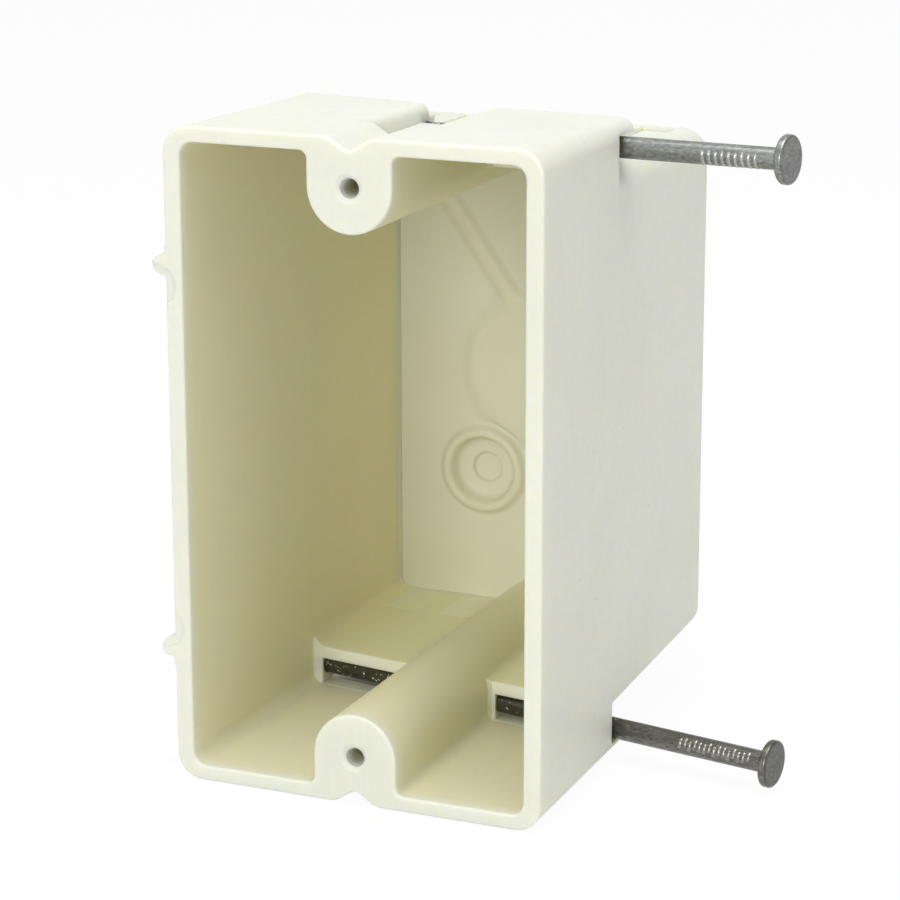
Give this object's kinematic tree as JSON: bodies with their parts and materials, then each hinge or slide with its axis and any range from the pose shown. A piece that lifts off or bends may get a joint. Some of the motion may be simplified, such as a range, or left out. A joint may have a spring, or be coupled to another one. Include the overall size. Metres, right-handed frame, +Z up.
{
  "type": "single-gang switch box",
  "caption": "Moulded single-gang switch box, open at the front, with device screw bosses, gauge nibs, a stepped rear and captive slanted nails that drive into a stud.",
  "frame": {"origin": "front rim plane, midway between the device screw holes", "axes": "+X to the right of someone facing the opening, away from the stud; +Y to the back; +Z up"},
  "size_m": [0.0859, 0.0736, 0.0976],
  "materials": {
    "housing": "moulded, satin",
    "nail_steel": "bright drawn wire"
  },
  "bodies": {
    "box": {"box_body": "housing"},
    "upper_nail": {"upper_nail": "nail_steel"},
    "lower_nail": {"lower_nail": "nail_steel"}
  },
  "joints": [
    {"name": "upper_nail_drive", "type": "slide", "parent": "box", "child": "upper_nail", "axis": [-0.9893, 0.1448, -0.0197], "range_m": [0, 0.024]},
    {"name": "lower_nail_drive", "type": "slide", "parent": "box", "child": "lower_nail", "axis": [-0.9893, 0.1448, 0.0197], "range_m": [0, 0.024]}
  ]
}
